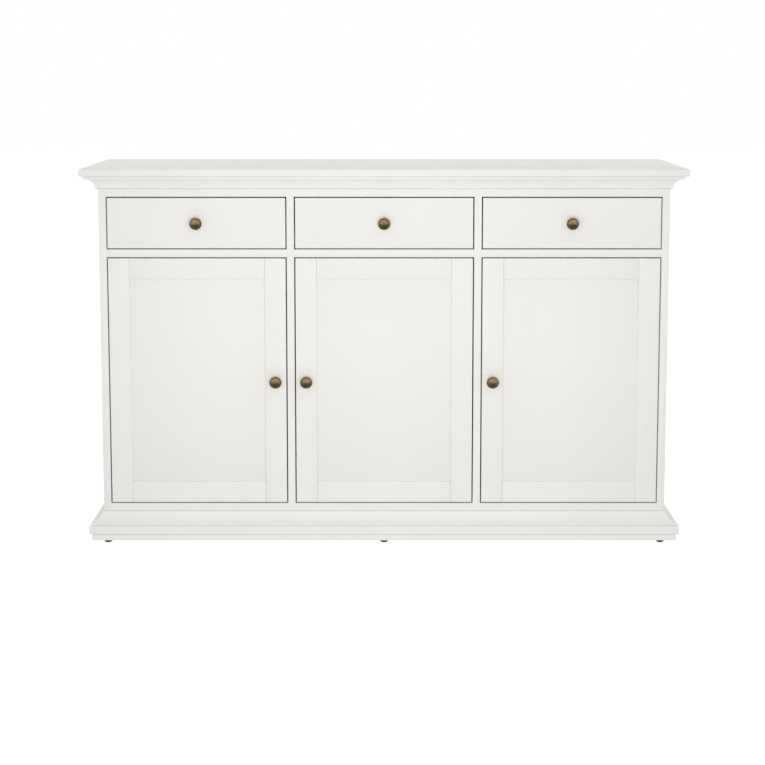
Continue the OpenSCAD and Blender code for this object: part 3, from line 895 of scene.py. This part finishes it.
def buildDrawerBoxes():
    s = drawerSettings
    low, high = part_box("drawer_sides_left")
    inner, grooveLow = high.x - s["sideThick"], low.z + s["grooveUp"]
    side = addBlock("side", (inner, low.y, low.z), high)
    for radius, axis, i, face, steps in ((s["topEdge"], "y", 2, high.z, 4), (s["edge"], "y", 2, low.z, 2),
                                         (s["edge"], "z", 1, high.y, 2)):
        roundEdges(side, radius, lambda mid, way: along(way, axis, leaning) and isAt(mid[i], face), steps)
    cutBlock(side, (inner - past, low.y - past, grooveLow),
             (inner + s["grooveIn"], high.y + past, grooveLow + s["grooveWide"]))

    # made in the middle of the row first, so that one side is the other's mirror image
    middle = Vector((bayMid["left"], 0, 0))
    right = addCopy(side, -middle)
    sides = joinPieces("sides", [addCopy(right, mirrored=True), right])
    low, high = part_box("drawer_back_left")
    back = addBlock("back", low - middle, high - middle)
    roundEdges(back, s["topEdge"], lambda mid, way: along(way, "x", leaning) and isAt(mid.z, high.z), steps=4)
    low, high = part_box("drawer_bottom_left")
    bottom = easeAll(addBlock("bottom", low - middle, high - middle), s["bottomEase"])
    for bay in bayNames:
        for source, part in ((sides, "sides"), (back, "back"), (bottom, "bottom")):
            placeCopy(source, f"drawer{part.capitalize()}{bay.capitalize()}", (bayMid[bay], 0, 0),
                      "drawer_" + bay, "white_inside", f"drawer_{part}_{bay}")
    discard(side, sides, back, bottom)


buildDrawerBoxes()
print("drawer boxes made")


# runners

runnerSettings = {
    "steel": 0.0012,
    "bend": 0.0010,  # inside radius of the folds
    "length": 0.350,
    "ease": 0.0002,
    "lip": 0.010,  # under the drawer side
    "trackGap": 0.0006,
    "corner": 0.005,  # rounding of the upper corners
    "cornerReach": 0.0005,
    "screwsAt": (0.060, 0.190, 0.320),
    "screwUp": 0.012,  # over the track
    "screwRadius": 0.0036,
    "screwHigh": 0.0011,
    "holeRadius": 0.00225,
    "pinRadius": 0.0028,
    "pinEase": 0.0004,
    "casePin": (0.009, 0.0004),  # out of the steel, and back from the upright's face
    "drawerPin": (0.0002, 0.010),  # from and to, out from the drawer side
}
rollerSettings = {
    "wide": 0.007,
    # half of its outline: a hub, a thinner web and a round tread
    "half": [(0.0045, 0.0002), (0.0048, 0.0004), (0.0051, 0.0012), (0.0083, 0.0012), (0.0086, 0.0003),
             (0.0092, 0), (0.0100, 0), (0.0107, 0.0003), (0.011, 0.0010)],
    "bore": 0.00306,
    "holes": 3,
    "holeRadius": 0.0010,
    "holesOut": 0.0067,
}


def foldedStrip(name, points, startY):
    # a folded steel strip: its outline drawn out along the runner
    endY = startY + runnerSettings["length"]
    return drawOut(name, points, lambda point: (Vector((point[0], startY, point[1])),
                                                Vector((point[0], endY, point[1]))), runnerSettings["ease"])


def addPin(x0, x1, y, z):
    pin = addRod("pin", runnerSettings["pinRadius"], (x0, y, z), (x1, y, z))
    return easeAll(pin, runnerSettings["pinEase"])


def addRoller():
    # a nylon wheel standing on the origin
    s = rollerSettings
    other = [(r, s["wide"] - z) for r, z in s["half"][::-1]]
    roller = turnShape("roller", s["half"] + other, sides=48)
    drill(roller, s["bore"], (0, 0, -past), (0, 0, 2 * past))
    for i in range(s["holes"]):
        turn = i * math.tau / s["holes"]
        x, y = s["holesOut"] * math.cos(turn), s["holesOut"] * math.sin(turn)
        drill(roller, s["holeRadius"], (x, y, -past), (x, y, 2 * past), sides=16)
    return roller


def buildCaseRails():
    # the half on the upright, drawn for the right side of a bay in the middle of the row
    s = runnerSettings
    t, r = s["steel"], s["bend"]
    outer = r + t
    low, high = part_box("case_rails")
    face, top, under, startY = high.x - bayMid["right"], high.z, low.z, low.y
    endY, track = startY + s["length"], under + t
    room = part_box("partition_left")[0].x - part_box("drawer_sides_left")[1].x
    inside = face - room + t + s["trackGap"]
    points = ([(face, top), (face - t, top)] + arcPoints((face - t - r, track + r), r, r, 0, -90, 4)
              + [(inside, track), (inside, under)]
              + arcPoints((face - outer, under + outer), outer, outer, -90, 0, 5))
    rail = foldedStrip("caseRail", points, startY)

    def isCorner(mid, way):
        return along(way, "x", leaning) and mid.z > top - s["cornerReach"] and isAt(mid.y, startY, endY)

    roundEdges(rail, s["corner"], isCorner, steps=4)
    z = track + s["screwUp"]
    parts = [rail]
    for distance in s["screwsAt"]:
        y = startY + distance
        drill(rail, s["holeRadius"], (face - past, y, z), (face + past, y, z), sides=20)
    for distance in s["screwsAt"]:
        screw = addScrewHead(s["screwRadius"], s["screwHigh"])
        parts.append(standOn(screw, "left", (face - t, startY + distance, z)))
    roller = boxMid("case_rollers_left")
    parts.append(addPin(face - t - s["casePin"][0], face - s["casePin"][1], roller.y, roller.z))
    right = joinPieces("caseRail", parts)
    pair = joinPieces("caseRailPair", [right, addCopy(right, mirrored=True)])
    pairs = [addCopy(pair, (bayMid[bay], 0, 0)) for bay in bayNames]
    discard(pair)
    place(joinPieces("caseRails", pairs), "case", "white_epoxy_steel", "case_rails", angle=35)


def addDrawerRails():
    # the halves under the drawer's two sides
    s = runnerSettings
    t, r = s["steel"], s["bend"]
    outer = r + t
    low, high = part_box("drawer_rails_left")
    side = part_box("drawer_sides_left")[1].x - bayMid["left"]
    bottom, top, end = low.z, high.z, high.x - bayMid["left"]
    lip = side - s["lip"]
    points = ([(lip, bottom)] + arcPoints((side + t - outer, bottom + outer), outer, outer, -90, 0, 5)
              + arcPoints((side + t + r, top - t - r), r, r, 180, 90, 4) + [(end, top - t), (end, top)]
              + arcPoints((side + outer, top - outer), outer, outer, 90, 180, 5)
              + arcPoints((side - r, bottom + t + r), r, r, 0, -90, 4) + [(lip, bottom + t)])
    rail = foldedStrip("drawerRail", points, low.y)
    wheel = boxMid("drawer_rollers_left")
    pin = addPin(side + s["drawerPin"][0], side + s["drawerPin"][1], wheel.y, wheel.z)
    right = joinPieces("drawerRail", [rail, pin])
    return joinPieces("drawerRailPair", [right, addCopy(right, mirrored=True)])


def buildDrawerRails():
    pair, roller = addDrawerRails(), standOn(addRoller(), "right", (0, 0, 0))
    for bay in bayNames:
        placeCopy(pair, "drawerRails" + bay.capitalize(), (bayMid[bay], 0, 0),
                  "drawer_" + bay, "white_epoxy_steel", "drawer_rails_" + bay, angle=35)
        for kind, body in (("case", "front_rollers_"), ("drawer", "rear_rollers_")):
            node = f"{kind}_rollers_{bay}"
            low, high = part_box(node)
            y, z = (low.y + high.y) / 2, (low.z + high.z) / 2
            wheels = [addCopy(roller, (x, y, z)) for x in (low.x, high.x - rollerSettings["wide"])]
            wheels = joinPieces(f"{kind}Rollers{bay.capitalize()}", wheels)
            place(wheels, body + bay, "white_nylon", node, angle=35)
    discard(pair, roller)


buildCaseRails()
buildDrawerRails()
print("runners made")


# hinges

# distances from the line a door turns on: across the door, then towards the back
hingeSettings = {
    "lineOff": 0.0005,
    "cupMid": 0.0230,
    "doorBack": 0.0205,
    "cupRadius": 0.0174,
    "cupDeep": 0.0115,
    "flangeOut": 0.0021,
    # the cup's outline, (in from its radius, up), and from its flange round to the inside
    "cupFoot": [(0.0014, 0), (0.0003, 0.0004), (0, 0.0014)],
    "cupInside": [(0.0016, 0.0012), (0.0032, 0.0009)],
    "plateHalf": frontSettings["plateHalf"],
    "plateSide": (-0.008, 0.014),  # from the cup's middle
    "plateThick": 0.001,
    "plateCorner": 0.0055,
    "plateEase": 0.0002,
    "mouthIn": 0.0006,
    "screwOut": 0.0095,
    "screwUp": 0.024,
    "screwRadius": 0.0035,
    "screwHigh": 0.0010,
}

# each part: across from the upright's face, towards the back, and half its height
armSettings = {
    "face": -0.0025,
    "wings": ((0, 0.002), (0.042, 0.054), 0.026),
    "base": ((0, 0.008), (0.034, 0.086), 0.008),
    "arm": ((0.008, 0.014), (0.026, 0.084), 0.0065),
    "crank": ((0.008, 0.0355), (0.026, 0.034), 0.005),
    "tip": ((0.0225, 0.0355), (0.013, 0.030), 0.005),
    "corner": {"wings": 0.005, "arm": 0.0035, "crank": 0.0025, "tip": 0.0030},
    "ease": {"wings": 0.0003, "base": 0.0008, "arm": 0.0004, "crank": 0.0006, "tip": 0.0006},
    "baseTaper": (1, 0.96, 0.84),  # narrower towards the arm
    "channelIn": 0.0014,
    "channelDeep": 0.0010,
    "knuckleRadius": 0.0022,
    "knuckleAt": (0.029, 0.0175),
    "knuckleEase": 0.0003,
    "wingScrews": (0.002, 0.048, 0.020),
    "armScrews": (0.013, (0.044, 0.070)),
    "wingScrewRadius": 0.0035,
    "armScrewRadius": 0.0030,
    "screwHigh": 0.0009,
}


def addHingeCup():
    s = hingeSettings
    deep, r, thick = s["cupDeep"], s["cupRadius"], s["plateThick"]
    flange, backY, midX = r + s["flangeOut"], s["doorBack"], s["cupMid"]
    outline = ([(r - inward, up) for inward, up in s["cupFoot"]]
               + [(r, deep), (flange, deep + 0.0001), (flange, deep + 0.0007)]
               + [(flange - 0.0003, deep + thick), (r - 0.0004, deep + thick)]
               + [(r - 0.0009, deep + 0.0005), (r - 0.0009, 0.0024)]
               + [(r - inward, up) for inward, up in s["cupInside"]])
    cup = standOn(turnShape("cup", outline, sides=64), "back", (midX, backY - deep, 0))
    plate = addBlock("plate", (midX + s["plateSide"][0], backY, -s["plateHalf"]),
                     (midX + s["plateSide"][1], backY + thick, s["plateHalf"]))
    roundEdges(plate, s["plateCorner"], lambda mid, way: along(way, "y"), steps=5)
    drill(plate, r - s["mouthIn"], (midX, backY - past, 0), (midX, backY + past, 0), sides=64)
    easeAll(plate, s["plateEase"])
    parts = [cup, plate]
    for side in (-1, 1):
        at = (midX + s["screwOut"], backY + thick, side * s["screwUp"])
        parts.append(standOn(addScrewHead(s["screwRadius"], s["screwHigh"]), "back", at))
    return joinPieces("hingeCup", parts)


def addHingeArm():
    s = armSettings
    face = s["face"]

    def addPart(name):
        (x0, x1), (y0, y1), half = s[name]
        return addBlock(name, (face + x0, y0, -half), (face + x1, y1, half))

    wings, base, arm, crank, tip = (addPart(name) for name in ("wings", "base", "arm", "crank", "tip"))
    roundEdges(wings, s["corner"]["wings"], lambda mid, way: along(way, "x"), steps=5)
    easeAll(wings, s["ease"]["wings"])
    across, reach = s["base"][:2]
    pickParts(base, "polygons", lambda side: side.normal.x > leaning)
    bpy.ops.transform.resize(value=s["baseTaper"], center_override=(face + across[1], sum(reach) / 2, 0))
    setMode("OBJECT")
    easeAll(base, s["ease"]["base"], steps=3)
    backEnd = s["arm"][1][1]
    roundEdges(arm, s["corner"]["arm"], lambda mid, way: along(way, "x") and isAt(mid.y, backEnd), steps=5)
    pickParts(arm, "polygons", lambda side: side.normal.x > leaning)
    bpy.ops.mesh.inset(thickness=s["channelIn"])
    bpy.ops.mesh.extrude_region_move(TRANSFORM_OT_translate={"value": (-s["channelDeep"], 0, 0)})
    setMode("OBJECT")
    easeAll(arm, s["ease"]["arm"])
    for name, part in (("crank", crank), ("tip", tip)):
        roundEdges(part, s["corner"][name], lambda mid, way: along(way, "z"), steps=5)
        easeAll(part, s["ease"][name])
    (x, y), half = s["knuckleAt"], s["tip"][2]
    knuckle = addRod("knuckle", s["knuckleRadius"], (face + x, y, -half), (face + x, y, half), sides=24)
    parts = [wings, base, arm, crank, tip, easeAll(knuckle, s["knuckleEase"])]
    x, y, up = s["wingScrews"]
    screws = [(s["wingScrewRadius"], (face + x, y, side * up)) for side in (-1, 1)]
    x, places = s["armScrews"]
    screws += [(s["armScrewRadius"], (face + x, y, 0)) for y in places]
    for radius, at in screws:
        parts.append(standOn(addScrewHead(radius, s["screwHigh"]), "right", at))
    return joinPieces("hingeArm", parts)


def buildHinges():
    s = hingeSettings
    cup, arm = addHingeCup(), addHingeArm()
    arms = []
    for bay in bayNames:
        doorLow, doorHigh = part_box("door_stiles_" + bay)
        low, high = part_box("hinge_cups_" + bay)
        mirrored = hangSide[bay] > 0
        x = doorHigh.x + s["lineOff"] if mirrored else doorLow.x - s["lineOff"]
        places = [(x, frontY - s["lineOff"], z) for z in (low.z + s["plateHalf"], high.z - s["plateHalf"])]
        cups = joinPieces("hingeCups" + bay.capitalize(), [addCopy(cup, at, mirrored) for at in places])
        place(cups, "door_" + bay, "nickel_steel", "hinge_cups_" + bay, angle=35)
        arms += [addCopy(arm, at, mirrored) for at in places]
    place(joinPieces("hingeArms", arms), "case", "nickel_steel", "hinge_arms", angle=35)
    discard(cup, arm)


buildHinges()
print("hinges made")


# shelves, pins, glides and dowels

shelfSettings = {
    "frontEdge": 0.0008,
    "otherEdge": 0.0003,
    "pinRadius": 0.0025,
    "pinLength": 0.0165,
    "pinInHole": 0.0075,
    "pinEase": 0.0004,
    "collarRadius": 0.004,
    "collarWide": 0.0012,
    "collarEase": 0.0002,
    "collarStep": 0.00001,  # keeps the collar's face and the pin apart
    "cutSlack": 0.0005,
}
glideSettings = {
    "radius": 0.010,
    "high": 0.006,
    "round": 0.0058,
    "roundDown": 0.0014,  # from the plinth to the rounded part
    "neck": [(0, 0.0012), (0.0006, 0.0008), (0.0006, 0)],  # in from the radius, down from the plinth
}


def buildShelves():
    s = shelfSettings
    low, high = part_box("shelves")
    half = ((high.x - low.x) - (bayMid["right"] - bayMid["left"])) / 2
    shelf = addBlock("shelf", (bayMid["left"] - half, low.y, low.z), (bayMid["left"] + half, high.y, high.z))
    roundEdges(shelf, s["frontEdge"], lambda mid, way: along(way, "x") and isAt(mid.y, low.y), steps=4)
    easeAll(shelf, s["otherEdge"], steps=1, angle=60)
    copies = [addCopy(shelf, (bayMid[bay] - bayMid["left"], 0, 0)) for bay in bayNames[1:]]
    place(joinPieces("shelfBoards", [shelf] + copies), "case", "white_inside", "shelves")


def addShelfPin():
    # a round pin with a collar that is cut away level under the shelf
    s = shelfSettings
    r, collar, long, ease = s["pinRadius"], s["collarRadius"], s["pinLength"], s["pinEase"]
    face = long - s["pinInHole"]
    start = face - s["collarWide"]
    outline = [(r - ease, 0), (r, ease), (r, start), (collar - s["collarEase"], start),
               (collar, start + s["collarEase"]), (collar, face), (r, face + s["collarStep"]),
               (r, long - ease), (r - ease, long)]
    pin = standOn(turnShape("pin", outline, sides=32), "right", (-face, 0, 0))
    cutBlock(pin, (start - face - s["cutSlack"], -past, r), (s["cutSlack"], past, past))
    return pin


def buildShelfPins():
    s = shelfSettings
    low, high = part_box("shelf_pins")
    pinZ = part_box("shelves")[0].z - s["pinRadius"]
    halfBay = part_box("partition_left")[0].x - bayMid["left"]
    pin = addShelfPin()
    pins = []
    for bay in bayNames:
        for y in (low.y + s["collarRadius"], high.y - s["collarRadius"]):
            right = addCopy(pin, (halfBay, y, 0))
            pair = (right, addCopy(right, mirrored=True))
            pins += [addCopy(piece, (bayMid[bay], 0, pinZ)) for piece in pair]
            discard(*pair)
    discard(pin)
    place(joinPieces("shelfPins", pins), "case", "nickel_steel", "shelf_pins", angle=35)


def buildGlides():
    s = glideSettings
    low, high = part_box("glides")
    r, e, dome = s["radius"], s["round"], s["high"] - s["roundDown"]
    neck = [(r - inward, s["high"] - down) for inward, down in s["neck"]]
    glide = turnShape("glide", arcPoints((r - e, dome), e, dome, -90, 0, 10) + neck, sides=40)
    places = [(x, y, 0) for x in (low.x + r, 0, high.x - r) for y in (low.y + r, high.y - r)]
    copies = [addCopy(glide, at) for at in places]
    discard(glide)
    place(joinPieces("footGlides", copies), "case", "black_plastic", "glides", angle=35)


buildShelves()
buildShelfPins()
buildGlides()
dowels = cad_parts["dowels"]
dowels.data.materials.clear()
dowels.data.materials.append(finishes["beech"])
print("inside finished")


# room, light and camera

roomSettings = {
    # how bright each side of the room is as soft light
    "front": 0.63,
    "back": 0.88,
    "side": 0.60,
    "top": 0.69,
    "below": 0.88,
    # in polished metal the room is dark below the horizon and bright above it
    "glossBelow": 0.04,
    "glossFront": 1.15,
    "glossBack": 1.20,
    "glossBlend": (-0.24, 0.12),
    "warmth": (1, 0.998, 0.990, 1),
    "keyPlace": (0.0, -2.1, 0.68),
    "keyAimUp": 0.60,
    "keySize": (1.4, 0.9),
    "keyPower": 15.3,
    "floorSize": 40,
    "floorDown": 0.0005,
    "floorGlow": 0.80,
    "floorShade": 0.35,
}
cameraSettings = {
    "place": (-0.004, -4.240, 1.184),  # standing in front, a little above the top
    "pitchDown": 6.73,  # degrees
    "lens": 78.2,
    "shiftY": -0.16,
}
white = (1, 1, 1, 1)


def addRoom():
    # soft light from every side, and a plain white surround where the camera looks
    s = roomSettings
    world = bpy.data.worlds.new("softRoom")
    bpy.context.scene.world = world
    world.use_nodes = True
    nodes = world.node_tree.nodes
    direction = nodes.new("ShaderNodeTexCoord").outputs["Generated"]
    squares = addNode(direction, "ShaderNodeVectorMath", 0)
    squares.operation = "MULTIPLY"
    feed(direction, squares, 1)
    ways = addNode(direction, "ShaderNodeSeparateXYZ", 0)
    shares = addNode(squares.outputs[0], "ShaderNodeSeparateXYZ", 0)

    def addMath(operation, first, second):
        node = addNode(first, "ShaderNodeMath", 0)
        node.operation = operation
        feed(second, node, 1)
        return node.outputs[0]

    def softFrom(axis, lowSide, highSide):
        side = addRange(ways.outputs[axis], s[lowSide], s[highSide], -0.001, 0.001)
        return addMath("MULTIPLY", shares.outputs[axis], side)

    soft = addMath("ADD", softFrom("Y", "front", "back"), softFrom("Z", "below", "top"))
    soft = addMath("ADD", softFrom("X", "side", "side"), soft)
    gloss = addRange(ways.outputs["Z"], s["glossBelow"], 1, *s["glossBlend"])
    feed(addRange(ways.outputs["Y"], s["glossFront"], s["glossBack"], -1, 1), gloss.node, "To Max")
    seen = nodes.new("ShaderNodeLightPath")
    total = addNode(seen.outputs["Is Glossy Ray"], "ShaderNodeMix", "Factor")
    feed(soft, total, "A")
    feed(gloss, total, "B")
    room, surround = nodes["Background"], nodes.new("ShaderNodeBackground")
    room.inputs["Color"].default_value = s["warmth"]
    feed(total.outputs["Result"], room, "Strength")
    surround.inputs["Color"].default_value = white
    either = addNode(seen.outputs["Is Camera Ray"], "ShaderNodeMixShader", 0)
    feed(room.outputs[0], either, 1)
    feed(surround.outputs[0], either, 2)
    feed(either.outputs[0], nodes["World Output"], "Surface")


def addFloor():
    # a pale floor that the camera sees, and that neither colours nor shades the piece
    s = roomSettings
    deselectAll()
    bpy.ops.mesh.primitive_plane_add(size=s["floorSize"], location=(0, 0, -s["floorDown"]))
    floor = bpy.context.object
    floor.name = "paleFloor"
    material = bpy.data.materials.new("paleFloor")
    material.use_nodes = True
    shader = material.node_tree.nodes["Principled BSDF"]
    for socket, value in (("Base Color", (s["floorShade"],) * 3 + (1,)), ("Roughness", 0.9),
                          ("Specular IOR Level", 0.1), ("Emission Color", white),
                          ("Emission Strength", s["floorGlow"])):
        shader.inputs[socket].default_value = value
    floor.data.materials.append(material)
    floor.visible_diffuse = floor.visible_glossy = floor.visible_shadow = False


def addKeyLight():
    s = roomSettings
    deselectAll()
    bpy.ops.object.light_add(type="AREA", location=s["keyPlace"])
    light = bpy.context.object
    light.name = "softKey"
    light.data.shape = "RECTANGLE"
    light.data.size, light.data.size_y = s["keySize"]
    light.data.energy = s["keyPower"]
    light.visible_camera = light.visible_glossy = False
    aim = Vector((0, frontY, s["keyAimUp"])) - Vector(s["keyPlace"])
    light.rotation_euler = aim.to_track_quat("-Z", "Y").to_euler()


def addCamera():
    s = cameraSettings
    deselectAll()
    bpy.ops.object.camera_add(location=s["place"])
    camera = bpy.context.object
    camera.name = "viewCamera"
    camera.rotation_euler = (math.radians(90 - s["pitchDown"]), 0, 0)
    camera.data.lens, camera.data.sensor_width = s["lens"], 36
    camera.data.shift_y = s["shiftY"]
    camera.data.clip_start, camera.data.clip_end = 0.05, 60
    bpy.context.scene.camera = camera


addRoom()
addFloor()
addKeyLight()
addCamera()
bpy.context.scene.view_settings.view_transform = "Standard"
print("room ready")
